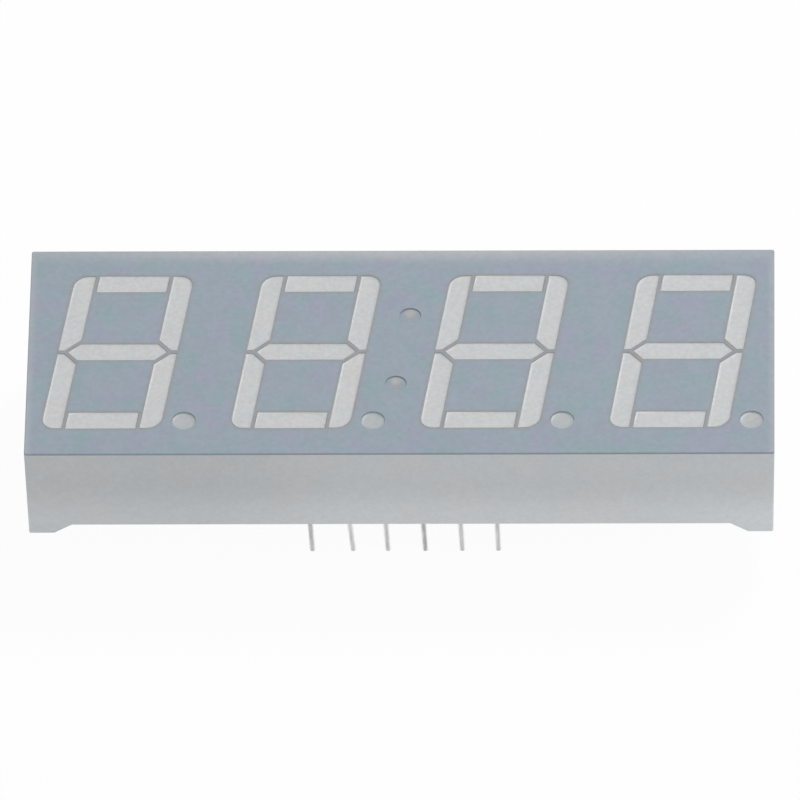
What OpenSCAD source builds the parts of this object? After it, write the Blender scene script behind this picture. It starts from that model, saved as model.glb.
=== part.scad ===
// Four-digit LED display with slanted seven segment digits, for through-hole mounting.
// Millimetres. The origin is the centre of the pin pattern on the seating plane, under the feet.
// +Z points out of the lit face, +X is the reading direction and +Y points up the digits.
// A moulded housing holds tapered light cells cast full of epoxy. The board closes the cells from
// behind with one LED chip in each, and a potting layer seals the board, its joints and the pins.

/* [Housing] */
// Distance between the centres of neighbouring digits
digit_pitch = 12.7; // [12.5:0.1:16]
// Gap between two displays stacked end to end at the digit pitch
stacking_gap = 0.5; // [0.2:0.1:1]
// Width of the housing at the face
body_w = 19; // [18.6:0.1:24]
// Height from the feet to the face
body_h = 7.8; // [7.2:0.1:12]
// Inset of each outer wall at the feet, as mould draft
draft = 0.1; // [0.02:0.02:0.2]
// Radius of the upright edges
edge_r = 0.15; // [0.1:0.05:0.8]
// Thickness of the rim around the board
rim_t = 0.9; // [0.7:0.05:1.2]
// Height of the corner feet below the rim
foot_h = 0.8; // [0.4:0.1:1.5]
// Length of a foot's flat underside along each wall
foot_l = 1.8; // [1:0.1:3]
// Length of the slope from a foot up to the rim
foot_slope_l = 1.2; // [0.3:0.1:2]
// Thickness of the face over each pocket that lightens the moulding
skin_t = 1.2; // [0.8:0.1:2]
// Thickness of the webs between the pockets and the light cells
web_t = 0.8; // [0.5:0.1:1.1]
// Corner radius of the pockets
pocket_r = 0.4; // [0.2:0.1:0.8]

/* [Digits] */
// Height of a digit
digit_h = 14.22; // [11:0.02:15]
// Width of a digit across its upright bars
digit_w = 8.04; // [7:0.02:8.2]
// Offset of the digits to the left of their pitch centres
digit_offset = 0.04; // [0:0.02:0.3]
// Slant of the digits in degrees
slant = 8; // [0:1:10]
// Thickness of the level bars
level_t = 1.5; // [1.1:0.05:1.8]
// Width of the upright bars
upright_t = 1.4; // [1.1:0.02:1.7]
// Radius of the digit's four outer corners
corner_r = 0.95; // [0.5:0.05:1]
// Gap between the level bars and the upright bars
level_gap = 0.24; // [0.2:0.02:0.5]
// Gap between an upper and a lower upright bar
upright_gap = 0.26; // [0.2:0.02:0.5]
// Gap along the slanting ends of the middle bar
mitre_gap = 0.24; // [0.2:0.01:0.4]
// Distance of the middle bar's points from the digit's sides
point_inset = 0.65; // [0.6:0.01:1]

/* [Light cells] */
// Level of a segment's epoxy below the face
epoxy_sink = 0.06; // [0.02:0.02:0.3]
// Inset of a cell's long walls at the board
side_taper = 0.2; // [0.05:0.01:0.25]
// Length of each cell's opening at the board
well_l = 2; // [1.4:0.1:3]

/* [Dots] */
// Diameter of the decimal points
dot_d = 1.6; // [1:0.05:1.8]
// Distance of a decimal point's centre to the right of the digit's side
dot_side = 1.48; // [1.2:0.02:1.8]
// Height of a decimal point's centre above the foot of the digit
dot_rise = 0.7; // [0.4:0.01:1]
// Level of a decimal point's epoxy below the face
dot_sink = 0.12; // [0.02:0.02:0.4]
// Diameter of the unused colon's dimples
colon_d = 1.45; // [1:0.05:1.8]
// Distance between the dimples, measured up the digit
colon_pitch = 6.33; // [5:0.01:7]
// Height of the dimples' middle above the digit's middle
colon_rise = 0.16; // [0:0.02:0.5]
// Offset of the dimples to the right of the display's middle
colon_offset = 0.14; // [0:0.02:0.3]
// Depth of the dimples
colon_depth = 0.1; // [0.05:0.05:0.6]

/* [Board and chips] */
// Thickness of the circuit board
board_t = 1; // [0.6:0.1:1.2]
// Gap between the board's edge and the rim
board_clear = 0.15; // [0.05:0.05:0.3]
// Corner radius of the recess that holds the board
recess_r = 0.5; // [0.3:0.1:1]
// Thickness of the potting under the board
potting_t = 0.9; // [0.7:0.1:1.4]
// Depth of the potting's surface inside the rim
potting_sink = 0.3; // [0.2:0.1:0.5]
// Height that the potting climbs the rim and the pins
meniscus_h = 0.15; // [0.05:0.05:0.2]
// Width of the potting's climb at the rim and the pins
meniscus_w = 0.35; // [0.2:0.05:0.5]
// Side of an LED chip
chip_w = 0.3; // [0.2:0.02:0.5]
// Height of an LED chip
chip_h = 0.2; // [0.1:0.02:0.3]

/* [Pins] */
// Number of pins in each row
pins_per_row = 6; // [4:1:8]
// Distance between neighbouring pins
pin_pitch = 2.54; // [2:0.01:3]
// Distance between the two rows
row_pitch = 15.24; // [15:0.01:15.6]
// Diameter of a pin
pin_d = 0.45; // [0.4:0.01:0.6]
// Extra radius of a pin's upset stretch, which is held in the potting and the board
upset_t = 0.04; // [0.02:0.01:0.1]
// Length of the upset stretch that shows below the potting's surface
grip_show = 0.25; // [0.1:0.05:0.4]
// Length of a pin below the feet
pin_reach = 3.6; // [2.5:0.1:12]
// Length of a pin above the board
pin_head = 0.25; // [0.1:0.05:0.4]
// Chamfer at the pin's ends
pin_chamfer = 0.1; // [0.02:0.02:0.15]
// Gap around a pin in the board, filled with solder
barrel_clear = 0.1; // [0.05:0.01:0.15]
// Gap around a pin's head in the housing
head_clear = 0.15; // [0.05:0.05:0.2]
// Gap above a pin's head in the housing
head_gap = 0.15; // [0.05:0.05:0.5]
// Radius of a solder fillet on the board
fillet_r = 0.6; // [0.5:0.05:0.7]
// Height of a solder fillet
fillet_h = 0.5; // [0.3:0.05:0.6]

/* [Hidden] */
digits = 4;
body_l = digits * digit_pitch - stacking_gap;
potting_z = foot_h + potting_sink;
board_z = potting_z + potting_t;
seat_z = board_z + board_t;
cell_depth = body_h - seat_z;
grip_d = pin_d + 2 * upset_t;
grip_z = potting_z - grip_show;
barrel_r = grip_d / 2 + barrel_clear;
level_end = digit_w / 2 - upright_t - level_gap;
middle_end = digit_w / 2 - point_inset;
dot_taper = side_taper;
corner_steps = 6;
cut = 0.1;
$fn = 48;

SEGMENTS = ["a", "b", "c", "d", "e", "f", "g"];

// --- Outlines ---------------------------------------------------------------------------------
// A convex outline is a list of edges, anticlockwise. Each edge holds the direction of its
// outward normal, its distance from the origin and the radius of the corner that follows it.

// The point where two edges cross
function crossing(e, f, inset) =
    let (d = e[1] - inset, h = f[1] - inset, turn = sin(f[0] - e[0]))
    [(d * sin(f[0]) - h * sin(e[0])) / turn, (h * cos(e[0]) - d * cos(f[0])) / turn];

// The corner between two edges: one point, or an arc of equal steps
function corner(e, f) =
    let (sweep = (f[0] - e[0] + 360) % 360, centre = crossing(e, f, e[2]))
    e[2] == 0 ? [centre] :
    [for (i = [0:corner_steps])
        let (at = e[0] + sweep * i / corner_steps) centre + e[2] * [cos(at), sin(at)]];

function outline(edges) =
    [for (i = [0:len(edges) - 1]) each corner(edges[i], edges[(i + 1) % len(edges)])];

// A rectangle's edges from its limits and its corner radius
function rectangle(left, right, bottom, top, r) =
    [[0, right, r], [90, top, r], [180, -left, r], [270, -bottom, r]];

// Edges moved inwards, by ends along the bar's direction and by sides across it
function tapered(edges, along, ends, sides, r_loss) =
    [for (e = edges) [
        e[0],
        e[1] - ends * abs(cos(e[0] - along)) - sides * abs(sin(e[0] - along)),
        e[2] == 0 ? 0 : e[2] - r_loss
    ]];

// Points mirrored left or right and up or down, still anticlockwise
function placed(points, right, up) =
    let (m = [for (p = points) [right * p[0], up * p[1]]], n = len(points))
    right * up > 0 ? m : [for (i = [n - 1:-1:0]) m[i]];

// Points of the upright digit, slanted and moved to the middle x
function leaned(points, x) = [for (p = points) [x + p[0] + p[1] * tan(slant), p[1]]];

// A closed solid through outlines that have the same number of points, from the lowest up
module loft(outlines, heights) {
    n = len(outlines[0]);
    last = len(outlines) - 1;
    polyhedron(
        points = [for (k = [0:last]) for (p = outlines[k]) [p[0], p[1], heights[k]]],
        faces = concat(
            [[for (i = [0:n - 1]) i]],
            [[for (i = [n - 1:-1:0]) n * last + i]],
            [for (k = [0:last - 1]) for (i = [0:n - 1])
                let (j = (i + 1) % n) [n * k + i, n * (k + 1) + i, n * (k + 1) + j, n * k + j]]
        )
    );
}

// --- Digits -----------------------------------------------------------------------------------
function digit_x(i) = (i - (digits + 1) / 2) * digit_pitch - digit_offset;

// How far down its cell a height lies: 0 at the face and 1 at the board
function depth_at(z) = (body_h - z) / cell_depth;

// The top bar, the right upper bar and the middle bar of an upright digit
function level_edges() =
    rectangle(-level_end, level_end, digit_h / 2 - level_t, digit_h / 2, 0);
function upright_edges() = [
    [0, digit_w / 2, corner_r],
    [90, digit_h / 2, 0],
    [180, upright_t - digit_w / 2, 0],
    [225, -middle_end * sin(45) - mitre_gap, 0],
    [270, -upright_gap / 2, 0]
];
function middle_edges() = [
    [45, middle_end * sin(45), 0],
    [90, level_t / 2, 0],
    [135, middle_end * sin(45), 0],
    [225, middle_end * sin(45), 0],
    [270, level_t / 2, 0],
    [315, middle_end * sin(45), 0]
];

// How far a bar's ends move in on the way to the board, to leave the well's length
function level_taper() = level_end - well_l / 2;
function upright_taper() = (digit_h - upright_gap) / 4 - well_l / 2;
function middle_taper() = middle_end - level_t / 2 - well_l / 2;

// A segment's outline in the upright digit at depth t
function level_at(t) =
    outline(tapered(level_edges(), 0, level_taper() * t, side_taper * t, 0));
function upright_at(t) =
    outline(tapered(upright_edges(), 90, upright_taper() * t, side_taper * t, 2 * side_taper * t));
function middle_at(t) =
    outline(tapered(middle_edges(), 0, middle_taper() * t, side_taper * t, 0));
function segment_at(s, t) =
    s == "a" ? level_at(t) :
    s == "b" ? upright_at(t) :
    s == "c" ? placed(upright_at(t), 1, -1) :
    s == "d" ? placed(level_at(t), 1, -1) :
    s == "e" ? placed(upright_at(t), -1, -1) :
    s == "f" ? placed(upright_at(t), -1, 1) :
    middle_at(t);

// The middle of each segment in the upright digit, where its chip sits
bar_x = (digit_w - upright_t) / 2;
bar_y = (digit_h + upright_gap) / 4;
level_y = (digit_h - level_t) / 2;
function segment_middle(s) =
    s == "a" ? [0, level_y] :
    s == "b" ? [bar_x, bar_y] :
    s == "c" ? [bar_x, -bar_y] :
    s == "d" ? [0, -level_y] :
    s == "e" ? [-bar_x, -bar_y] :
    s == "f" ? [-bar_x, bar_y] :
    [0, 0];

// The decimal point's middle in the upright digit
dot_middle = [digit_w / 2 + dot_side, dot_rise - digit_h / 2];

// The chips of digit i in its order of segments, with the decimal point last
function chip_middles(i) =
    leaned(concat([for (s = SEGMENTS) segment_middle(s)], [dot_middle]), digit_x(i));

// A light cell runs past the board and the face, so that it cuts cleanly
cell_low = seat_z - cut;
cell_high = body_h + cut;

// The tapered light cell of one segment
module light_cell(i, s) {
    ends = [cell_low, cell_high];
    loft([for (z = ends) leaned(segment_at(s, depth_at(z)), digit_x(i))], ends);
}

// The tapered light cell of one decimal point
module dot_cell(i) {
    translate(concat(leaned([dot_middle], digit_x(i))[0], cell_low))
        cylinder(
            h = cell_high - cell_low,
            r1 = dot_d / 2 - dot_taper * depth_at(cell_low),
            r2 = dot_d / 2 - dot_taper * depth_at(cell_high)
        );
}

// The part of a light cell that epoxy fills from the board to its sunken surface
module filling(sink) {
    intersection() {
        children();
        translate([-body_l / 2, -body_w / 2, seat_z])
            cube([body_l, body_w, cell_depth - sink]);
    }
}

module chip(at) {
    translate([at[0] - chip_w / 2, at[1] - chip_w / 2, seat_z])
        cube([chip_w, chip_w, chip_h]);
}

// --- Pins -------------------------------------------------------------------------------------
// Pin 1 is at the left of the lower row and the numbers run anticlockwise, seen from the face
function pin_at(i) =
    let (lower = i <= pins_per_row, k = lower ? i - 1 : 2 * pins_per_row - i)
    [(k - (pins_per_row - 1) / 2) * pin_pitch, (lower ? -1 : 1) * row_pitch / 2, 0];

// The whole pin: a chamfered shank with an upset stretch from the potting up
module pin_body(i) {
    foot = -pin_reach;
    head = seat_z + pin_head;
    translate(pin_at(i))
        rotate_extrude()
            polygon([
                [0, foot],
                [pin_d / 2 - pin_chamfer, foot],
                [pin_d / 2, foot + pin_chamfer],
                [pin_d / 2, grip_z],
                [grip_d / 2, grip_z],
                [grip_d / 2, head - pin_chamfer],
                [grip_d / 2 - pin_chamfer, head],
                [0, head]
            ]);
}

module pin(i) {
    color("silver")
        pin_body(i);
}

// Half the outline of a hollow fillet that rises h along a pin, from radius wide in to narrow
function climb(wide, narrow, z, h) =
    [for (t = [90:-15:0]) [wide - (wide - narrow) * sin(t), z - h * (1 - cos(t))]];

// The solder of one joint, with the pin's core still in it
module solder_blank(i) {
    translate(pin_at(i))
        rotate_extrude()
            polygon(concat(
                [[0, board_z - fillet_h]],
                climb(fillet_r, grip_d / 2, board_z, fillet_h),
                [[barrel_r, board_z], [barrel_r, seat_z], [0, seat_z]]
            ));
}

module solder_joints() {
    color("gainsboro")
        for (i = [1:2 * pins_per_row])
            difference() {
                solder_blank(i);
                pin_body(i);
            }
}

// --- Housing ----------------------------------------------------------------------------------
module round_plate(l, w, r, z_low, z_high) {
    translate([0, 0, z_low])
        linear_extrude(z_high - z_low)
            union() {
                square([l - 2 * r, w], center = true);
                square([l, w - 2 * r], center = true);
                for (x = [-1, 1], y = [-1, 1])
                    translate([x * (l / 2 - r), y * (w / 2 - r)])
                        circle(r);
            }
}

recess_l = body_l - 2 * rim_t;
recess_w = body_w - 2 * rim_t;

// The drafted block that the housing is cut from
module body_block() {
    at_face = rectangle(-body_l / 2, body_l / 2, -body_w / 2, body_w / 2, edge_r);
    loft([outline(tapered(at_face, 0, draft, draft, 0)), outline(at_face)], [0, body_h]);
}

// Space under the rim between two feet of a wall of length l, cut right across the housing
module foot_space(l) {
    x = l / 2 - foot_l;
    rotate([90, 0, 0])
        linear_extrude(body_l + body_w, center = true)
            polygon([
                [-x, -foot_h], [x, -foot_h], [x, 0], [x - foot_slope_l, foot_h],
                [foot_slope_l - x, foot_h], [-x, 0]
            ]);
}

// A blind pocket in the back of the face, drafted and slanted like the digits
module pocket(edges, x, up) {
    high = tapered(edges, 0, draft, draft, 0);
    loft(
        [for (e = [edges, high]) leaned(placed(outline(e), 1, up), x)],
        [seat_z - cut, body_h - skin_t]
    );
}

// The pockets above and below the middle bar of digit i
module window_pockets(i) {
    side = digit_w / 2 - upright_t - web_t;
    edges = rectangle(
        -side, side, level_t / 2 + web_t, digit_h / 2 - level_t - web_t, pocket_r
    );
    for (up = [-1, 1])
        pocket(edges, digit_x(i), up);
}

// The pocket between digit i and the next, clear of the decimal point
module gap_pocket(i) {
    side = (digit_pitch - digit_w) / 2 - web_t;
    low = dot_middle[1] + dot_d / 2 + web_t;
    pocket(
        rectangle(-side, side, low, digit_h / 2 - web_t, pocket_r),
        (digit_x(i) + digit_x(i + 1)) / 2, 1
    );
}

module colon_dimples() {
    for (up = [-1, 1]) {
        y = up * colon_pitch / 2;
        translate([colon_offset + y * tan(slant), colon_rise + y, body_h - colon_depth])
            cylinder(h = colon_depth + cut, d = colon_d);
    }
}

module housing() {
    color([0.72, 0.73, 0.74])
        difference() {
            body_block();
            round_plate(recess_l, recess_w, recess_r, -cut, seat_z);
            foot_space(body_l);
            rotate([0, 0, 90])
                foot_space(body_w);
            for (i = [1:digits]) {
                for (s = SEGMENTS)
                    light_cell(i, s);
                dot_cell(i);
                window_pockets(i);
            }
            for (i = [1:digits - 1])
                gap_pocket(i);
            colon_dimples();
            for (i = [1:2 * pins_per_row])
                translate(pin_at(i) + [0, 0, seat_z - cut])
                    cylinder(h = cut + pin_head + head_gap, r = grip_d / 2 + head_clear);
        }
}

// --- Inside -----------------------------------------------------------------------------------
module segment(i, s) {
    color([0.8, 0.81, 0.8])
        difference() {
            filling(epoxy_sink) light_cell(i, s);
            chip(leaned([segment_middle(s)], digit_x(i))[0]);
        }
}

module decimal_point(i) {
    color([0.75, 0.77, 0.78])
        difference() {
            filling(dot_sink) dot_cell(i);
            chip(leaned([dot_middle], digit_x(i))[0]);
        }
}

module led_chips(i) {
    color("goldenrod")
        for (at = chip_middles(i))
            chip(at);
}

module board_plate() {
    gap = 2 * board_clear;
    round_plate(recess_l - gap, recess_w - gap, recess_r - board_clear, board_z, seat_z);
}

module circuit_board() {
    color("darkseagreen")
        difference() {
            board_plate();
            for (i = [1:2 * pins_per_row])
                translate(pin_at(i) + [0, 0, board_z - cut])
                    cylinder(h = board_t + 2 * cut, r = barrel_r);
        }
}

// The air under the potting, which is left hollow along the rim by the potting's climb
module potting_hollow() {
    feather = 0.02;
    turns = [0:22.5:90];
    insets = concat([feather], [for (t = turns) feather + (meniscus_w - feather) * (1 - cos(t))]);
    rises = concat([-cut], [for (t = turns) meniscus_h * sin(t)]);
    loft(
        [for (w = insets)
            outline(rectangle(
                w - recess_l / 2, recess_l / 2 - w, w - recess_w / 2, recess_w / 2 - w,
                recess_r
            ))],
        [for (h = rises) potting_z - meniscus_h + h]
    );
}

module back_potting() {
    reach = grip_d / 2 + meniscus_w;
    color([0.85, 0.85, 0.8])
        difference() {
            union() {
                difference() {
                    round_plate(recess_l, recess_w, recess_r, potting_z - meniscus_h, seat_z);
                    potting_hollow();
                }
                for (i = [1:2 * pins_per_row])
                    translate(pin_at(i))
                        rotate_extrude()
                            polygon(concat(
                                [[0, grip_z]],
                                climb(reach, grip_d / 2, potting_z, grip_show),
                                [[reach, board_z], [0, board_z]]
                            ));
            }
            board_plate();
            for (i = [1:2 * pins_per_row]) {
                solder_blank(i);
                pin_body(i);
            }
        }
}

housing();
for (i = [1:digits]) {
    for (s = SEGMENTS)
        segment(i, s);
    decimal_point(i);
    led_chips(i);
}
circuit_board();
solder_joints();
back_potting();
for (i = [1:2 * pins_per_row])
    pin(i);
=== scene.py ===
# Four-digit LED display: finishes, cast epoxy, rounded housing, leaning pins, floor, light and
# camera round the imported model
from math import cos, radians, sin, tan

import bpy
from mathutils import Matrix, Vector


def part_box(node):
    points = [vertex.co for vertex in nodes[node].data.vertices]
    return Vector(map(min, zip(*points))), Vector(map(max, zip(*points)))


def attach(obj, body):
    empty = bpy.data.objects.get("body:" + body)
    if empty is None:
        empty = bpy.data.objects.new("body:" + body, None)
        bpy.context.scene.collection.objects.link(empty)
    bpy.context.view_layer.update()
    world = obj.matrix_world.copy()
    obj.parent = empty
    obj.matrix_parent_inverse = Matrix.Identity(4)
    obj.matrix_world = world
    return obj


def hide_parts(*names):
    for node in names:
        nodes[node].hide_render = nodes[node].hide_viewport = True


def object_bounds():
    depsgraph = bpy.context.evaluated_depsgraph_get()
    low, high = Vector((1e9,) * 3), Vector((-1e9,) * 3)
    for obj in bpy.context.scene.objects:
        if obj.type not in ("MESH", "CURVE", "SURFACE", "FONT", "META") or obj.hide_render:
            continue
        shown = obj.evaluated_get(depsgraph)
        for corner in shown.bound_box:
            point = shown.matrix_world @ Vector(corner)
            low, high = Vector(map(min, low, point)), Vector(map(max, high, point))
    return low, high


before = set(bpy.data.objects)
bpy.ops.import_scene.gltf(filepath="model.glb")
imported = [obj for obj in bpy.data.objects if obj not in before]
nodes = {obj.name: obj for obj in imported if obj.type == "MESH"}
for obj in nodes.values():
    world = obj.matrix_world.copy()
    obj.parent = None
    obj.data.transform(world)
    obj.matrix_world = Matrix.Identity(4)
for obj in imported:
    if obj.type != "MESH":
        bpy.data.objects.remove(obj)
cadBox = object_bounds()
mm = 0.001
digits = (1, 2, 3, 4)
segments = "abcdefg"
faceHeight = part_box("housing")[1].z / mm
halfLength = cadBox[1].x / mm
halfWidth = cadBox[1].y / mm
print("stage 1: frame loaded,", len(nodes), "nodes")


# Small helpers for node trees

def addNode(tree, kind, inputs=None, **settings):
    node = tree.nodes.new(kind)
    for name, value in settings.items():
        setattr(node, name, value)
    for name, value in (inputs or {}).items():
        if isinstance(value, bpy.types.NodeSocket):
            tree.links.new(value, node.inputs[name])
        else:
            node.inputs[name].default_value = value
    return node


def calc(tree, operation, *values):
    node = addNode(tree, "ShaderNodeMath", dict(enumerate(values)), operation=operation)
    return node.outputs[0]


def ramp(tree, value, low, high, outLow=0.0, outHigh=1.0):
    return addNode(tree, "ShaderNodeMapRange", {
        "Value": value, "From Min": low, "From Max": high, "To Min": outLow, "To Max": outHigh,
    }, interpolation_type="SMOOTHSTEP").outputs["Result"]


usualNoise = (0.3, 0.7)     # a noise node seldom leaves this range


def fromNoise(tree, noise, low, high):
    return ramp(tree, noise, *usualNoise, low, high)


def mixColour(tree, factor, first, second, blend="MIX"):
    # by number, because a Mix node's sockets share their names
    node = addNode(tree, "ShaderNodeMix", {0: factor, 6: first, 7: second},
                   data_type="RGBA", blend_type=blend)
    return node.outputs[2]


def mixValue(tree, factor, first, second):
    return addNode(tree, "ShaderNodeMix", {0: factor, 2: first, 3: second},
                   data_type="FLOAT").outputs[0]


def greyOf(tree, value):
    return addNode(tree, "ShaderNodeCombineColor", {0: value, 1: value, 2: value}).outputs[0]


def srgb(red, green, blue):
    # a colour given on the 0 to 255 scale, as a linear one for a socket
    def linear(c):
        c /= 255
        return c / 12.92 if c <= 0.04045 else ((c + 0.055) / 1.055) ** 2.4
    return (linear(red), linear(green), linear(blue), 1.0)


def newGroup(name, inputs, outputs):
    tree = bpy.data.node_groups.new(name, "ShaderNodeTree")
    for label, value in inputs.items():
        kind = "NodeSocketColor" if isinstance(value, tuple) else "NodeSocketFloat"
        tree.interface.new_socket(label, in_out="INPUT", socket_type=kind).default_value = value
    for label, kind in outputs.items():
        tree.interface.new_socket(label, in_out="OUTPUT", socket_type="NodeSocket" + kind)
    return tree, tree.nodes.new("NodeGroupInput").outputs, tree.nodes.new("NodeGroupOutput")


def placeGroup(tree, group, inputs):
    # settings come first, because a group's sockets are there only once its tree is set
    node = addNode(tree, "ShaderNodeGroup", node_tree=group)
    for name, value in inputs.items():
        node.inputs[name].default_value = value
    return node.outputs[0]


def inMillimetres(tree):
    coords = addNode(tree, "ShaderNodeTexCoord").outputs["Object"]
    return addNode(tree, "ShaderNodeVectorMath", {0: coords, "Scale": 1 / mm},
                   operation="SCALE").outputs[0]


def axesOf(tree):
    # x, y and z of a point, in millimetres
    return addNode(tree, "ShaderNodeSeparateXYZ", {0: inMillimetres(tree)}).outputs


# Shared surface effects, built once as groups

grainForm = {"coarseScale": 0.23}       # the coarse noise's scale, as a share of the fine one's


def buildGrain():
    # fine moulded or cast texture: two sizes of noise as one height
    tree, given, out = newGroup("fineGrain", {"Size mm": 0.1, "Coarse share": 0.4},
                                {"Height": "Float"})
    place = inMillimetres(tree)
    fineScale = calc(tree, "DIVIDE", 1.0, given["Size mm"])
    coarseScale = calc(tree, "MULTIPLY", fineScale, grainForm["coarseScale"])
    fine = addNode(tree, "ShaderNodeTexNoise",
                   {"Vector": place, "Scale": fineScale, "Detail": 2.0, "Roughness": 0.6})
    coarse = addNode(tree, "ShaderNodeTexNoise",
                     {"Vector": place, "Scale": coarseScale, "Detail": 1.0, "Roughness": 0.5})
    height = mixValue(tree, given["Coarse share"], fine.outputs[0], coarse.outputs[0])
    tree.links.new(height, out.inputs["Height"])
    return tree


driftForm = {
    "shift": (31.0, 17.0, 5.0),     # the cool hue's noise lies elsewhere than the warm one's
    "coolScale": 1.3,
    "patchEdge": (0.45, 0.72),      # noise at which a patch begins, and at which it is full
}


def buildDrift():
    # a colour that wanders slowly towards two others across a surface
    tree, given, out = newGroup("colourDrift", {
        "Colour": (0.5, 0.5, 0.5, 1.0), "Warm": (0.5, 0.5, 0.5, 1.0),
        "Cool": (0.5, 0.5, 0.5, 1.0), "Patch mm": 3.0, "Amount": 0.5,
    }, {"Colour": "Color"})

    def patches(place, scale):
        noise = addNode(tree, "ShaderNodeTexNoise",
                        {"Vector": place, "Scale": scale, "Detail": 2.0, "Roughness": 0.55})
        full = ramp(tree, noise.outputs[0], *driftForm["patchEdge"])
        return calc(tree, "MULTIPLY", full, given["Amount"])

    place = inMillimetres(tree)
    scale = calc(tree, "DIVIDE", 1.0, given["Patch mm"])
    moved = addNode(tree, "ShaderNodeVectorMath", {0: place, 1: driftForm["shift"]}, operation="ADD")
    coolScale = calc(tree, "MULTIPLY", scale, driftForm["coolScale"])
    warmed = mixColour(tree, patches(place, scale), given["Colour"], given["Warm"])
    cooled = mixColour(tree, patches(moved.outputs[0], coolScale), warmed, given["Cool"])
    tree.links.new(cooled, out.inputs["Colour"])
    return tree


speckForm = {"core": 0.5}       # the share of a speck's radius that is fully covered


def buildSpecks():
    # scattered round specks, as pigment, diffuser grains or bubbles just under a surface
    tree, given, out = newGroup("specks", {"Spacing mm": 0.3, "Radius share": 0.25},
                                {"Mask": "Float"})
    scale = calc(tree, "DIVIDE", 1.0, given["Spacing mm"])
    cells = addNode(tree, "ShaderNodeTexVoronoi",
                    {"Vector": inMillimetres(tree), "Scale": scale, "Randomness": 1.0},
                    feature="F1")
    chance = addNode(tree, "ShaderNodeSeparateColor", {0: cells.outputs["Color"]}).outputs[0]
    radius = calc(tree, "MULTIPLY", given["Radius share"], chance)
    core = calc(tree, "MULTIPLY", radius, speckForm["core"])
    tree.links.new(ramp(tree, cells.outputs["Distance"], radius, core), out.inputs["Mask"])
    return tree


firstDigit, secondDigit = [sum(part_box(f"digit_{i}_segment_g"), Vector()) / 2 for i in digits[:2]]
digitForm = {
    "firstX": firstDigit.x / mm,
    "pitch": (secondDigit.x - firstDigit.x) / mm,
    "slant": 8,             # degrees
    "width": 8.04,
    "height": 14.22,
    "level": 1.5,           # breadth of the level bars, and of the upright ones
    "upright": 1.4,
    "cornerRadius": 0.95,
}


def buildDigitRims(values):
    # how near a point of the face is to a digit: 1 between its segments, 0 beyond the given width
    tree, given, out = newGroup("digitRims", {"Width mm": 0.3}, {"Mask": "Float"})
    x, y, _ = axesOf(tree)
    lean = calc(tree, "MULTIPLY", y, tan(radians(values["slant"])))
    fromFirst = calc(tree, "SUBTRACT", calc(tree, "SUBTRACT", x, lean), values["firstX"])
    half = values["pitch"] / 2
    acrossDigit = addNode(tree, "ShaderNodeMath", {0: fromFirst, 1: half, 2: -half},
                          operation="WRAP").outputs[0]
    across = calc(tree, "ABSOLUTE", acrossDigit)
    up = calc(tree, "ABSOLUTE", y)
    # distance outside the digit's outline, with its round corners
    corner = values["cornerRadius"]
    outX = calc(tree, "SUBTRACT", across, values["width"] / 2 - corner)
    outY = calc(tree, "SUBTRACT", up, values["height"] / 2 - corner)
    outside = addNode(tree, "ShaderNodeCombineXYZ", {
        "X": calc(tree, "MAXIMUM", outX, 0.0), "Y": calc(tree, "MAXIMUM", outY, 0.0)})
    reach = addNode(tree, "ShaderNodeVectorMath", {0: outside.outputs[0]}, operation="LENGTH")
    outer = calc(tree, "SUBTRACT", reach.outputs["Value"], corner)
    # distance into one of the two windows that its bars enclose
    windowX = calc(tree, "SUBTRACT", across, values["width"] / 2 - values["upright"])
    windowMiddle = values["height"] / 4 - values["level"] / 4
    windowHalf = values["height"] / 4 - 3 * values["level"] / 4
    fromMiddle = calc(tree, "ABSOLUTE", calc(tree, "SUBTRACT", up, windowMiddle))
    windowY = calc(tree, "SUBTRACT", fromMiddle, windowHalf)
    insideWindow = calc(tree, "MAXIMUM", windowX, windowY)
    ring = calc(tree, "MAXIMUM", outer, calc(tree, "MULTIPLY", insideWindow, -1.0))
    tree.links.new(ramp(tree, ring, given["Width mm"], 0.0), out.inputs["Mask"])
    return tree


# The two dimples of the unused colon: their distance apart, and their middle's place on the face
colonForm = {"pitch": 6.33, "rise": 0.16, "offset": 0.14, "slant": digitForm["slant"]}


def buildDimpleMiddles(values):
    # 1 from the middle of each dimple, or from a point shifted up from there, out to the inner
    # radius, and fading to 0 at the outer one
    tree, given, out = newGroup("dimpleMiddles", {
        "Inner mm": 0.1, "Outer mm": 0.6, "Shift mm": 0.0}, {"Mask": "Float"})
    x, y, _ = axesOf(tree)
    up = calc(tree, "SUBTRACT", calc(tree, "SUBTRACT", y, values["rise"]), given["Shift mm"])
    lean = calc(tree, "MULTIPLY_ADD", up, tan(radians(values["slant"])), values["offset"])
    reach = addNode(tree, "ShaderNodeCombineXYZ", {
        "X": calc(tree, "SUBTRACT", x, lean),
        "Y": calc(tree, "SUBTRACT", calc(tree, "ABSOLUTE", up), values["pitch"] / 2)})
    distance = addNode(tree, "ShaderNodeVectorMath", {0: reach.outputs[0]}, operation="LENGTH")
    tree.links.new(ramp(tree, distance.outputs["Value"], given["Outer mm"], given["Inner mm"]),
                   out.inputs["Mask"])
    return tree


fineGrain = buildGrain()
colourDrift = buildDrift()
speckMask = buildSpecks()
digitRims = buildDigitRims(digitForm)
dimpleMiddles = buildDimpleMiddles(colonForm)
print("stage 2: shared surface effects built")


# Materials: colours are on the 0 to 255 scale, and sizes are in millimetres

def newMaterial(name, principled):
    material = bpy.data.materials.new(name)
    material.use_nodes = True
    tree = material.node_tree
    shader = tree.nodes["Principled BSDF"]
    for label, value in principled.items():
        shader.inputs[label].default_value = value
    return material, tree, shader


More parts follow.
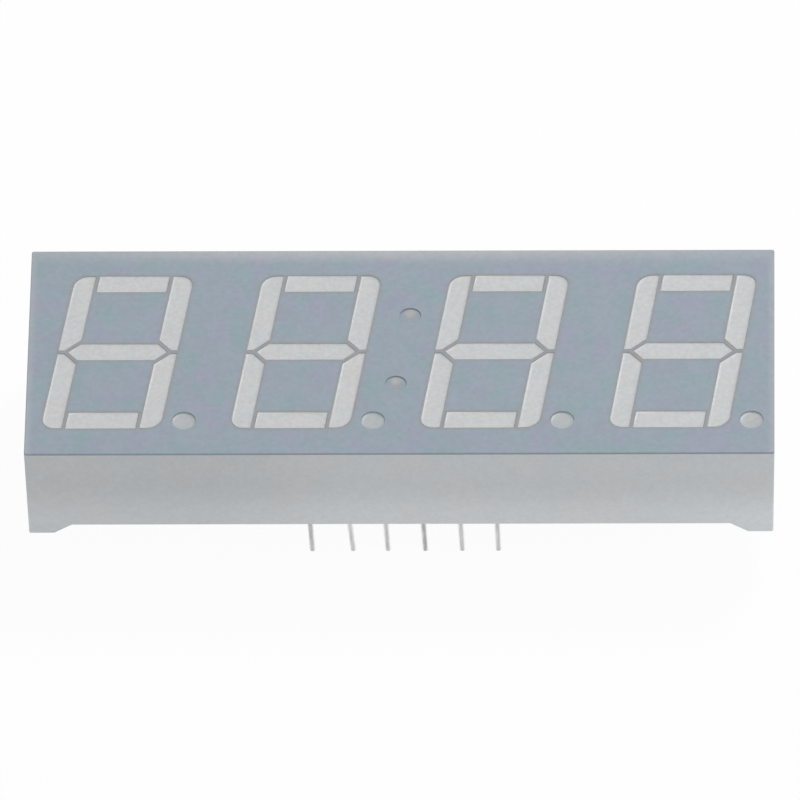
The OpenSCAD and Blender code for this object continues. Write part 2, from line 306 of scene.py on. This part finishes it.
def roughen(tree, shader, height, depth):
    bump = addNode(tree, "ShaderNodeBump",
                   {"Height": height, "Distance": depth * mm, "Strength": 1.0})
    tree.links.new(bump.outputs[0], shader.inputs["Normal"])


def driftedColour(tree, look):
    return placeGroup(tree, colourDrift, {
        "Colour": srgb(*look["colour"]), "Warm": srgb(*look["warm"]), "Cool": srgb(*look["cool"]),
        "Patch mm": look["patch"], "Amount": look["drift"],
    })


def specked(tree, colour, specks, look):
    # specks of another colour, where their mask is
    share = calc(tree, "MULTIPLY", specks, look["speckShare"])
    return mixColour(tree, share, colour, srgb(*look["speckColour"]))


def mottled(tree, colour, look):
    # light and dark flecks of a surface's own colour
    grain = placeGroup(tree, fineGrain, {"Size mm": look["fleckSize"], "Coarse share": 0.2})
    shade = greyOf(tree, fromNoise(tree, grain, 1 - look["flecks"], 1 + look["flecks"]))
    return mixColour(tree, 1.0, colour, shade, "MULTIPLY")


housingLook = {
    "shader": {"IOR": 1.5},
    "plastic": {"colour": (226, 230, 232), "warm": (230, 228, 228), "cool": (220, 229, 232),
                "patch": 5.0, "drift": 0.5, "fleckSize": 0.3, "flecks": 0.032},
    "ink": {"colour": (152, 164, 176), "warm": (157, 160, 179), "cool": (144, 166, 172),
            "patch": 2.8, "drift": 0.9, "fleckSize": 0.38, "flecks": 0.045},
    "inkWrap": 0.13,        # how far the ink wraps down over the face's outer edge
    "inkReach": 0.3,        # and how far down it goes in the dimples
    "outline": 0.3,         # the band along the face's outline, where only the wrap counts
    "cellShadeColour": (152, 156, 159),      # painted shade: darker along the light cells and on the lands between their segments
    "cellShadeBand": {"Width mm": 0.3},      # and how far from them it reaches
    "specks": {"Spacing mm": 0.3, "Radius share": 0.28},
    "speckColour": (176, 184, 192),
    "speckShare": 0.12,
    "paintedSheenColour": (183, 185, 189),     # painted sheen: the face is lighter towards the upper wall and the two ends
    "upperFrom": 8.0,               # where that starts above the face's middle
    "upperMiddle": 6.0,             # and how far to each side it shows most
    "upperShare": 1.0,
    "endShare": 0.5,
    "sideWidth": 0.6,
    "sideShare": 0.5,
    "thinInk": (158, 160, 164),     # in the colon's dimples the ink is thinner; the lighter spot under their upper edge is a painted highlight
    "thinSpot": {"Inner mm": 0.15, "Outer mm": 0.75, "Shift mm": 0.1},
    "paintedGlintInk": (178, 179, 181),
    "paintedGlintSpot": {"Inner mm": 0.1, "Outer mm": 0.55, "Shift mm": 0.34},
    "edgeDark": 0.87,               # painted shade on the face's rounded edges, except in the dimples
    "edgeDrop": 0.01,               # how far below the face it begins, and over what height
    "edgeFade": 0.02,
    "dimple": {"Inner mm": 0.8, "Outer mm": 0.82},      # a whole dimple
    "wallShadeDark": 0.82,               # painted shade: the wall is darker below the face, fading out near the feet
    "wallShadeFade": (0.8, 5.0),         # the heights between which it fades
    "wallShadeLeft": 0.91,               # and a little darker towards the left end
    "wallShadeAcross": (-2.0, -14.0),    # from the first of these places along X to the second
    "grain": {"Size mm": 0.09, "Coarse share": 0.35},
    "inkRoughness": 0.55,
    "plasticRoughness": 0.42,
    "roughnessSpread": 0.12,
    "bump": 0.004,
}


def inkArea(tree, axes, look):
    # 1 on the printed face, its wrapped edge and the dimples, 0 on bare plastic
    x, y, height = axes
    inLength = calc(tree, "LESS_THAN", calc(tree, "ABSOLUTE", x), halfLength - look["outline"])
    inWidth = calc(tree, "LESS_THAN", calc(tree, "ABSOLUTE", y), halfWidth - look["outline"])
    onTop = calc(tree, "GREATER_THAN", height, faceHeight - look["inkWrap"])
    inReach = calc(tree, "GREATER_THAN", height, faceHeight - look["inkReach"])
    inDimple = calc(tree, "MULTIPLY", calc(tree, "MULTIPLY", inLength, inWidth), inReach)
    return calc(tree, "MAXIMUM", onTop, inDimple)


def inkColour(tree, axes, look):
    x, y, height = axes
    # painted shade: the face is darker along the light cells
    rim = placeGroup(tree, digitRims, look["cellShadeBand"])
    colour = mixColour(tree, rim, driftedColour(tree, look["ink"]), srgb(*look["cellShadeColour"]))
    colour = specked(tree, colour, placeGroup(tree, speckMask, look["specks"]), look)
    # painted sheen: the face is lighter towards the upper wall, most in the middle, and towards the
    # ends
    across = calc(tree, "ABSOLUTE", x)
    most = ramp(tree, across, look["upperMiddle"], halfLength, look["upperShare"], look["endShare"])
    upper = calc(tree, "MULTIPLY", most, ramp(tree, y, look["upperFrom"], halfWidth))
    side = ramp(tree, across, halfLength - look["sideWidth"], halfLength, 0.0, look["sideShare"])
    colour = mixColour(tree, calc(tree, "MAXIMUM", upper, side), colour, srgb(*look["paintedSheenColour"]))
    # in the dimples the ink is thinner, with a painted highlight under their upper edge
    for degree in ("thin", "paintedGlint"):
        spot = placeGroup(tree, dimpleMiddles, look[degree + "Spot"])
        colour = mixColour(tree, spot, colour, srgb(*look[degree + "Ink"]))
    # painted shade: the face is darker on its rounded edges
    edgeTop = faceHeight - look["edgeDrop"]
    belowTop = ramp(tree, height, edgeTop, edgeTop - look["edgeFade"])
    dimple = placeGroup(tree, dimpleMiddles, look["dimple"])
    onEdge = calc(tree, "MULTIPLY", belowTop, calc(tree, "SUBTRACT", 1.0, dimple))
    shade = greyOf(tree, mixValue(tree, onEdge, 1.0, look["edgeDark"]))
    return mottled(tree, mixColour(tree, 1.0, colour, shade, "MULTIPLY"), look["ink"])


def plasticColour(tree, axes, look):
    x, _, height = axes
    # painted shade: the bare wall is darker towards the face and towards the left end
    wallShade = ramp(tree, height, *look["wallShadeFade"], 1.0, look["wallShadeDark"])
    leftward = ramp(tree, x, *look["wallShadeAcross"], 1.0, look["wallShadeLeft"])
    shade = greyOf(tree, calc(tree, "MULTIPLY", wallShade, leftward))
    colour = mixColour(tree, 1.0, driftedColour(tree, look["plastic"]), shade, "MULTIPLY")
    return mottled(tree, colour, look["plastic"])


def housingMaterial():
    look = housingLook
    material, tree, shader = newMaterial("printedHousing", look["shader"])
    axes = axesOf(tree)
    ink = inkArea(tree, axes, look)
    colour = mixColour(tree, ink, plasticColour(tree, axes, look), inkColour(tree, axes, look))
    tree.links.new(colour, shader.inputs["Base Color"])
    grain = placeGroup(tree, fineGrain, look["grain"])
    roughness = mixValue(tree, ink, look["plasticRoughness"], look["inkRoughness"])
    smoothest = calc(tree, "SUBTRACT", roughness, look["roughnessSpread"] / 2)
    tree.links.new(calc(tree, "MULTIPLY_ADD", grain, look["roughnessSpread"], smoothest),
                   shader.inputs["Roughness"])
    roughen(tree, shader, grain, look["bump"])
    return material


epoxyLook = {
    "shader": {"IOR": 1.52, "Subsurface Weight": 0.25, "Subsurface Scale": 0.3 * mm,
               "Subsurface Radius": (1.0, 0.9, 0.8)},
    "segment": {"colour": (206, 208, 209), "warm": (212, 208, 207), "cool": (202, 208, 208),
                "patch": 2.0, "drift": 0.6, "fleckSize": 0.3, "flecks": 0.055},
    "dot": {"colour": (184, 190, 192), "warm": (188, 188, 188), "cool": (178, 188, 190),
            "patch": 1.2, "drift": 0.6, "fleckSize": 0.3, "flecks": 0.05},
    "specks": {"Spacing mm": 0.24, "Radius share": 0.3},    # diffuser grains
    "speckColour": (226, 227, 226),
    "speckShare": 0.12,
    "waves": {"Size mm": 0.35, "Coarse share": 0.6},
    "roughness": (0.3, 0.4),
    "bump": 0.004,
}


def epoxyMaterial(kind):
    look = epoxyLook
    material, tree, shader = newMaterial(kind + "Epoxy", look["shader"])
    colour = driftedColour(tree, look[kind])
    colour = specked(tree, colour, placeGroup(tree, speckMask, look["specks"]), look)
    tree.links.new(mottled(tree, colour, look[kind]), shader.inputs["Base Color"])
    waves = placeGroup(tree, fineGrain, look["waves"])
    tree.links.new(fromNoise(tree, waves, *look["roughness"]), shader.inputs["Roughness"])
    roughen(tree, shader, waves, look["bump"])
    return material


boardLook = {
    "shader": {"IOR": 1.5},
    "colour": (62, 104, 74), "warm": (80, 112, 74), "cool": (50, 96, 76),
    "patch": 4.0, "drift": 0.5,
    "threads": 2.2,         # glass threads in a millimetre, as light and dark squares
    "threadGreys": (0.45, 0.55),
    "threadShare": 0.25,
    "grain": {"Size mm": 0.2, "Coarse share": 0.5},
    "roughness": (0.3, 0.45),
    "bump": 0.01,
}


def boardMaterial():
    look = boardLook
    material, tree, shader = newMaterial("boardLaminate", look["shader"])
    dark, light = [(grey, grey, grey, 1) for grey in look["threadGreys"]]
    weave = addNode(tree, "ShaderNodeTexChecker", {
        "Vector": inMillimetres(tree), "Scale": look["threads"], "Color1": dark, "Color2": light})
    colour = mixColour(tree, look["threadShare"], driftedColour(tree, look), weave.outputs[0],
                       "OVERLAY")
    tree.links.new(colour, shader.inputs["Base Color"])
    grain = placeGroup(tree, fineGrain, look["grain"])
    tree.links.new(fromNoise(tree, grain, *look["roughness"]), shader.inputs["Roughness"])
    roughen(tree, shader, grain, look["bump"])
    return material


pottingLook = {
    "shader": {"IOR": 1.5, "Subsurface Weight": 0.3, "Subsurface Scale": 0.5 * mm,
               "Subsurface Radius": (1.0, 1.0, 0.8)},
    "colour": (214, 215, 206), "warm": (216, 211, 196), "cool": (204, 212, 204),
    "patch": 6.0, "drift": 0.6,
    "specks": {"Spacing mm": 1.3, "Radius share": 0.2},     # bubbles
    "speckColour": (170, 176, 166),
    "speckShare": 0.35,
    "speckDepth": 0.5,      # as a share of the bump
    "waves": {"Size mm": 0.9, "Coarse share": 0.6},
    "roughness": (0.3, 0.42),
    "bump": 0.04,
}


def pottingMaterial():
    look = pottingLook
    material, tree, shader = newMaterial("milkyPotting", look["shader"])
    bubbles = placeGroup(tree, speckMask, look["specks"])
    colour = specked(tree, driftedColour(tree, look), bubbles, look)
    tree.links.new(colour, shader.inputs["Base Color"])
    waves = placeGroup(tree, fineGrain, look["waves"])
    tree.links.new(fromNoise(tree, waves, *look["roughness"]), shader.inputs["Roughness"])
    height = calc(tree, "SUBTRACT", waves, calc(tree, "MULTIPLY", bubbles, look["speckDepth"]))
    roughen(tree, shader, height, look["bump"])
    return material


# Stretch draws a tinned surface's streaks out along Z, as a drawn wire has them
tinnedLook = {
    "shader": {"Metallic": 1.0},
    "solderAlloy": {"colour": (206, 207, 208), "roughness": (0.29, 0.4), "stretch": 1.0},
    "tinnedWire": {"colour": (208, 208, 208), "roughness": (0.29, 0.42), "stretch": 0.12},
    "lowToneTinnedWire": {"colour": (191, 191, 191), "roughness": (0.32, 0.46), "stretch": 0.12},
    "streaks": {"Scale": 9.0, "Detail": 3.0, "Roughness": 0.6},
    "streakEdge": (0.35, 0.65),
    "streakDrop": 24,               # how much darker the streaks are, on the colour's own scale
    # painted reflection of a white surround, at shallow angles
    "paintedReflectionWhite": (252, 252, 252),
    "grazing": (0.3, 0.62),
    "bump": 0.008,
}


def tinnedMaterial(name):
    look = tinnedLook
    colour = look[name]["colour"]
    material, tree, shader = newMaterial(name, look["shader"])
    place = addNode(tree, "ShaderNodeMapping", {
        "Vector": inMillimetres(tree), "Scale": (1.0, 1.0, look[name]["stretch"])}).outputs[0]
    streaks = addNode(tree, "ShaderNodeTexNoise", {"Vector": place, **look["streaks"]}).outputs[0]
    dark = srgb(*[c - look["streakDrop"] for c in colour])
    body = mixColour(tree, ramp(tree, streaks, *look["streakEdge"]), srgb(*colour), dark)
    # painted reflection: the metal's colour turns towards white where it is seen at a shallow angle,
    # as if mirroring a white surround
    facing = addNode(tree, "ShaderNodeLayerWeight", {"Blend": 0.5}).outputs["Facing"]
    shallow = ramp(tree, facing, *look["grazing"])
    tree.links.new(mixColour(tree, shallow, body, srgb(*look["paintedReflectionWhite"])),
                   shader.inputs["Base Color"])
    tree.links.new(fromNoise(tree, streaks, *look[name]["roughness"]), shader.inputs["Roughness"])
    roughen(tree, shader, streaks, look["bump"])
    return material


chipLook = {
    "shader": {"IOR": 2.0},
    "gold": ((196, 160, 88), (176, 138, 66)),       # two shades of the contact on top
    "crystal": ((72, 66, 62), (96, 88, 78)),        # and of the sides
    "grain": {"Size mm": 0.05, "Coarse share": 0.3},
    "goldEdge": (0.4, 0.6),
    "topEdge": (0.5, 0.9),          # how far a face is turned up before it counts as the top
    "roughness": (0.29, 0.4),
}


def chipMaterial():
    look = chipLook
    material, tree, shader = newMaterial("ledChip", look["shader"])
    facing = addNode(tree, "ShaderNodeNewGeometry").outputs["Normal"]
    upward = addNode(tree, "ShaderNodeSeparateXYZ", {0: facing}).outputs[2]
    grain = placeGroup(tree, fineGrain, look["grain"])
    gold = [srgb(*shade) for shade in look["gold"]]
    crystal = [srgb(*shade) for shade in look["crystal"]]
    top = mixColour(tree, ramp(tree, grain, *look["goldEdge"]), *gold)
    side = mixColour(tree, grain, *crystal)
    tree.links.new(mixColour(tree, ramp(tree, upward, *look["topEdge"]), side, top),
                   shader.inputs["Base Color"])
    tree.links.new(fromNoise(tree, grain, *look["roughness"]), shader.inputs["Roughness"])
    return material


materials = {
    "housing": housingMaterial(),
    "segment_epoxy": epoxyMaterial("segment"),
    "dot_epoxy": epoxyMaterial("dot"),
    "led_chip": chipMaterial(),
    "circuit_board": boardMaterial(),
    "solder": tinnedMaterial("solderAlloy"),
    "potting": pottingMaterial(),
    "pin": tinnedMaterial("tinnedWire"),
}
lowToneWire = tinnedMaterial("lowToneTinnedWire")
for node in nodes.values():
    for slot in node.material_slots:
        slot.material = materials[slot.material.name]
print("stage 3: materials built and given to the frame's pieces")


# Modelled pieces that stand for frame nodes

meshForm = {
    "merge": 0.001 * mm,    # points closer than this are one
    "flatAngle": 0.5,       # faces that meet at less than this many degrees are one
    "smoothAngle": 40,      # and those that meet at less than this are shaded as one
}


def deselectAll():
    bpy.ops.object.select_all(action="DESELECT")


def copyOf(nodeName, pieceName):
    # a merged copy of a node, its flat faces whole again and in the node's finish
    deselectAll()
    piece = bpy.data.objects.new(pieceName, nodes[nodeName].data.copy())
    piece.data.name = pieceName
    bpy.context.scene.collection.objects.link(piece)
    bpy.context.view_layer.objects.active = piece
    piece.select_set(True)
    bpy.ops.mesh.customdata_custom_splitnormals_clear()
    bpy.ops.object.mode_set(mode="EDIT")
    bpy.ops.mesh.select_all(action="SELECT")
    bpy.ops.mesh.mark_sharp(clear=True)
    bpy.ops.mesh.remove_doubles(threshold=meshForm["merge"])
    bpy.ops.mesh.dissolve_limited(angle_limit=radians(meshForm["flatAngle"]))
    bpy.ops.mesh.select_all(action="DESELECT")
    bpy.ops.object.mode_set(mode="OBJECT")
    return piece


def editPart(piece, part, wanted):
    # opens a piece in edit mode, with the wanted VERT, EDGE or FACE elements selected
    mesh = piece.data
    elements = {"VERT": mesh.vertices, "EDGE": mesh.edges, "FACE": mesh.polygons}
    for kind, items in elements.items():
        chosen = [wanted(item) for item in items] if kind == part else [False] * len(items)
        items.foreach_set("select", chosen)
    bpy.context.tool_settings.mesh_select_mode = [kind == part for kind in elements]
    bpy.ops.object.mode_set(mode="EDIT")


def slideRight(distance):
    # moves what is selected along X, and leaves edit mode
    bpy.ops.transform.translate(value=(distance, 0, 0))
    bpy.ops.object.mode_set(mode="OBJECT")


def finishPiece(piece, nodeName, smoothAngle=meshForm["smoothAngle"]):
    deselectAll()
    piece.select_set(True)
    bpy.context.view_layer.objects.active = piece
    bpy.ops.object.shade_smooth_by_angle(angle=radians(smoothAngle))
    flatten = piece.modifiers.new("flatFaceNormals", "WEIGHTED_NORMAL")
    flatten.keep_sharp = True
    bpy.ops.object.modifier_apply(modifier=flatten.name)
    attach(piece, "root")
    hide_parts(nodeName)


# The epoxy wets the wall of its cell, so each surface is a shallow dish with a raised rim:
# it climbs the wall, then falls in steps, each given as its width and its drop
meniscus = {
    "surface": 0.01 * mm,       # faces nearer than this to the top are the surface
    "segment": {"climb": 0.04 * mm,
                "steps": ((0.02, 0.02), (0.04, 0.014), (0.07, 0.009), (0.1, 0.004))},
    "dot": {"climb": 0.05 * mm,
            "steps": ((0.02, 0.024), (0.05, 0.02), (0.08, 0.012), (0.12, 0.006))},
}


def castEpoxy(nodeName, pieceName, kind):
    values = meniscus[kind]
    piece = copyOf(nodeName, pieceName)
    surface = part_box(nodeName)[1].z - meniscus["surface"]
    editPart(piece, "FACE", lambda face: face.center.z > surface)
    bpy.ops.transform.translate(value=(0, 0, values["climb"]))
    for width, drop in values["steps"]:
        bpy.ops.mesh.inset(thickness=width * mm, depth=-drop * mm)
    bpy.ops.object.mode_set(mode="OBJECT")
    finishPiece(piece, nodeName)


for i in digits:
    for s in segments:
        castEpoxy(f"digit_{i}_segment_{s}", f"cast_segment_{i}{s}", "segment")
    castEpoxy(f"digit_{i}_decimal_point", f"cast_point_{i}", "dot")
print("stage 4: cast epoxy surfaces modelled")


# The moulding's arrises: the printed face's outer edge, the cells' mouths and the feet
housingEdges = {
    "faceEdge": 0.1 * mm,
    "cellEdge": 0.02 * mm,
    "footEdge": 0.04 * mm,
    "footHeight": 0.8 * mm,
    "outline": 0.3 * mm,    # edges nearer than this to the walls are the face's outer edge
    "sharpAngle": 30,       # degrees
    "segments": 3,
}


def edgeKey(a, b):
    return tuple(sorted((tuple(round(c / meshForm["merge"]) for c in p) for p in (a, b))))


def sharpEdges(mesh):
    # keys of the edges where two faces meet at more than the sharp angle
    normals = {}
    for face in mesh.polygons:
        for key in face.edge_keys:
            normals.setdefault(key, []).append(face.normal)
    limit = radians(housingEdges["sharpAngle"])
    return {edgeKey(mesh.vertices[v].co, mesh.vertices[w].co)
            for (v, w), pair in normals.items() if len(pair) == 2 and pair[0].angle(pair[1]) > limit}


def roundedHousing():
    values = housingEdges
    low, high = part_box("housing")
    piece = copyOf("housing", "moulded_housing")
    mesh = piece.data
    play = meshForm["merge"]

    def onFace(p):
        return p.z > high.z - play

    def onOutline(p):
        fromWalls = (p.x - low.x, high.x - p.x, p.y - low.y, high.y - p.y)
        return min(fromWalls) < values["outline"]

    def onFeet(p):
        return p.z < low.z + values["footHeight"] + play

    def bevelEdges(tests, offset):
        # rounds the sharp edges whose two ends pass every test
        sharp = sharpEdges(mesh)

        def wanted(edge):
            ends = [mesh.vertices[v].co for v in edge.vertices]
            return all(test(end) for test in tests for end in ends) and edgeKey(*ends) in sharp

        editPart(piece, "EDGE", wanted)
        bpy.ops.mesh.bevel(offset=offset, offset_type="OFFSET", segments=values["segments"],
                           affect="EDGES", clamp_overlap=False, loop_slide=False)
        bpy.ops.object.mode_set(mode="OBJECT")

    bevelEdges((onFace, onOutline), values["faceEdge"])
    bevelEdges((onFace,), values["cellEdge"])
    bevelEdges((onFeet,), values["footEdge"])
    finishPiece(piece, "housing", values["sharpAngle"])
    return piece


housing = roundedHousing()
print("stage 5: housing edges rounded,", len(housing.data.polygons), "faces")


# The near row's pins lean a little to the right, each by its own angle from its head down
pinForm = {
    "lean": {1: 2.3, 2: 4.0, 3: 2.5, 4: 2.4, 5: 2.0, 6: 1.1},
    # pins 1 and 4 are given a darker copy of the tinned finish
    "lowTone": (1, 4),
    "chamfer": 0.1 * mm,
    "endBand": 0.2 * mm,    # a pin's ends, chamfers included, lie within this
}


def leaningPin(number, angle):
    nodeName = f"pin_{number}"
    piece = copyOf(nodeName, f"tinned_pin_{number}")
    points = piece.data.vertices
    band = pinForm["endBand"]
    foot, head = [corner.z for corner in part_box(nodeName)]
    step = min(point.co.z for point in points if point.co.z > foot + band)    # where it thickens
    for above, height in ((head, step), (step, foot)):
        editPart(piece, "FACE", lambda face: max(points[v].co.z for v in face.vertices)
                 < height + band)
        slideRight((above - height) * tan(radians(angle)))
    if number in pinForm["lowTone"]:
        piece.material_slots[0].material = lowToneWire
    finishPiece(piece, nodeName)


for number, angle in pinForm["lean"].items():
    leaningPin(number, angle)
print("stage 6: near row of pins leaned")


# Solder and potting have set round the leaning pins: their holes and the potting's climb follow
# the pin, and a solder fillet follows it less and less out to its foot on the board
setForm = {
    "footRadius": 0.6 * mm,
    "reach": 0.7 * mm,      # what lies further from a pin's middle stays as it is
    "slack": 0.01 * mm,
}


def setRoundPins(nodeName, pieceName):
    values = setForm
    slack = values["slack"]
    piece = copyOf(nodeName, pieceName)
    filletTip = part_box("solder_joints")[0].z
    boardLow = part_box("circuit_board")[0].z
    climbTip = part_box("back_potting")[0].z
    for number, angle in pinForm["lean"].items():
        low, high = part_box(f"pin_{number}")
        middle = ((low + high) / 2).xy
        bore = (high.x - low.x) / 2
        neck = high.z - pinForm["chamfer"]      # the pin's thick stretch runs from here down
        slope = tan(radians(angle)) * (high.z - climbTip) / (neck - climbTip)
        moves = {}
        for point in piece.data.vertices:
            away = (point.co.xy - middle).length
            height = point.co.z
            if away > values["reach"]:
                continue
            if away <= bore + slack or height <= filletTip + slack:
                follow = 1.0
            elif height < boardLow - slack:
                follow = 1 - (away - bore) / (values["footRadius"] - bore)
            else:
                follow = 0.0
            move = round(follow * slope * (neck - height) / meshForm["merge"])
            moves.setdefault(move, set()).add(point.index)
        for move, ring in moves.items():
            editPart(piece, "VERT", lambda point: point.index in ring)
            slideRight(move * meshForm["merge"])
    finishPiece(piece, nodeName)


setRoundPins("solder_joints", "set_solder")
setRoundPins("back_potting", "poured_potting")
print("stage 7: solder and potting fitted to the pins")


# Floor, light and camera

def seenDirectly(tree):
    # 1 for rays that show a surface to the camera, straight or by gloss or glass, else 0
    rays = addNode(tree, "ShaderNodeLightPath").outputs
    mirrored = calc(tree, "MAXIMUM", rays["Is Glossy Ray"], rays["Is Transmission Ray"])
    return calc(tree, "MAXIMUM", rays["Is Camera Ray"], mirrored)


# Glow is the share of plain white in the floor as it is seen; the rest keeps the shadow
floorLook = {"radius": 1.5, "corners": 96, "colour": (250, 250, 250), "glow": 0.95}


def buildFloor():
    deselectAll()
    bpy.ops.mesh.primitive_circle_add(vertices=floorLook["corners"], radius=floorLook["radius"],
                                      fill_type="NGON", location=(0, 0, cadBox[0].z))
    floor = bpy.context.object
    floor.name = "studio_floor"
    material = bpy.data.materials.new("paleFloor")
    material.use_nodes = True
    tree = material.node_tree
    tree.nodes.clear()
    paper = addNode(tree, "ShaderNodeBsdfDiffuse", {"Color": srgb(*floorLook["colour"])}).outputs[0]
    glow = addNode(tree, "ShaderNodeEmission", {"Strength": 1.0}).outputs[0]
    share = calc(tree, "MULTIPLY", seenDirectly(tree), floorLook["glow"])
    pale = addNode(tree, "ShaderNodeMixShader", {0: share, 1: paper, 2: glow}).outputs[0]
    # clear from below, so that the underside can be looked at
    behind = addNode(tree, "ShaderNodeNewGeometry").outputs["Backfacing"]
    clear = addNode(tree, "ShaderNodeBsdfTransparent").outputs[0]
    both = addNode(tree, "ShaderNodeMixShader", {0: behind, 1: pale, 2: clear}).outputs[0]
    addNode(tree, "ShaderNodeOutputMaterial", {"Surface": both})
    floor.data.materials.append(material)


worldLook = {"ambient": 0.5}


def buildWorld():
    world = bpy.data.worlds.new("softRoom")
    bpy.context.scene.world = world
    world.use_nodes = True
    tree = world.node_tree
    tree.nodes.clear()
    strength = mixValue(tree, seenDirectly(tree), worldLook["ambient"], 1.0)
    background = addNode(tree, "ShaderNodeBackground", {"Color": (1, 1, 1, 1), "Strength": strength})
    addNode(tree, "ShaderNodeOutputWorld", {"Surface": background.outputs[0]})


lamps = {
    "key": {"azimuth": 150, "elevation": 55, "distance": 0.8, "size": 0.3, "power": 2.4},
    "fill": {"azimuth": 35, "elevation": 45, "distance": 0.6, "size": 0.42, "power": 0.32},
}


def directionTo(azimuth, elevation):
    # azimuth 0 is the front, where the lower pins are; 90 is the right end
    a, e = radians(azimuth), radians(elevation)
    return Vector((sin(a) * cos(e), -cos(a) * cos(e), sin(e)))


def addLamp(name, values):
    light = bpy.data.lights.new(name, "AREA")
    light.shape = "DISK"
    light.size = values["size"]
    light.energy = values["power"]
    lamp = bpy.data.objects.new(name, light)
    away = directionTo(values["azimuth"], values["elevation"])
    lamp.location = away * values["distance"]
    lamp.rotation_euler = away.to_track_quat("Z", "Y").to_euler()
    lamp.visible_camera = False
    bpy.context.scene.collection.objects.link(lamp)


cameraView = {
    "azimuth": -1.925, "elevation": 46.283, "roll": -1.526,
    "aim": Vector((-0.137, -0.407, 3.469)) * mm, "distance": 1.2015,
    "lens": 800.9, "sensor": 36, "nearest": 0.05, "furthest": 20,
}


def addCamera():
    values = cameraView
    data = bpy.data.cameras.new("camera")
    data.lens = values["lens"]
    data.sensor_width = values["sensor"]
    data.clip_start = values["nearest"]
    data.clip_end = values["furthest"]
    camera = bpy.data.objects.new("camera", data)
    turn = (Matrix.Rotation(radians(-values["azimuth"]), 4, "Z")
            @ Matrix.Rotation(radians(90 - values["elevation"]), 4, "X")
            @ Matrix.Rotation(radians(values["roll"]), 4, "Z"))
    back = turn.to_3x3() @ Vector((0, 0, 1))
    camera.matrix_world = Matrix.Translation(values["aim"] + back * values["distance"]) @ turn
    bpy.context.scene.collection.objects.link(camera)
    bpy.context.scene.camera = camera


buildFloor()
buildWorld()
for name, values in lamps.items():
    addLamp(name, values)
addCamera()
bpy.context.scene.view_settings.view_transform = "Standard"
print("stage 8: floor, light and camera set")
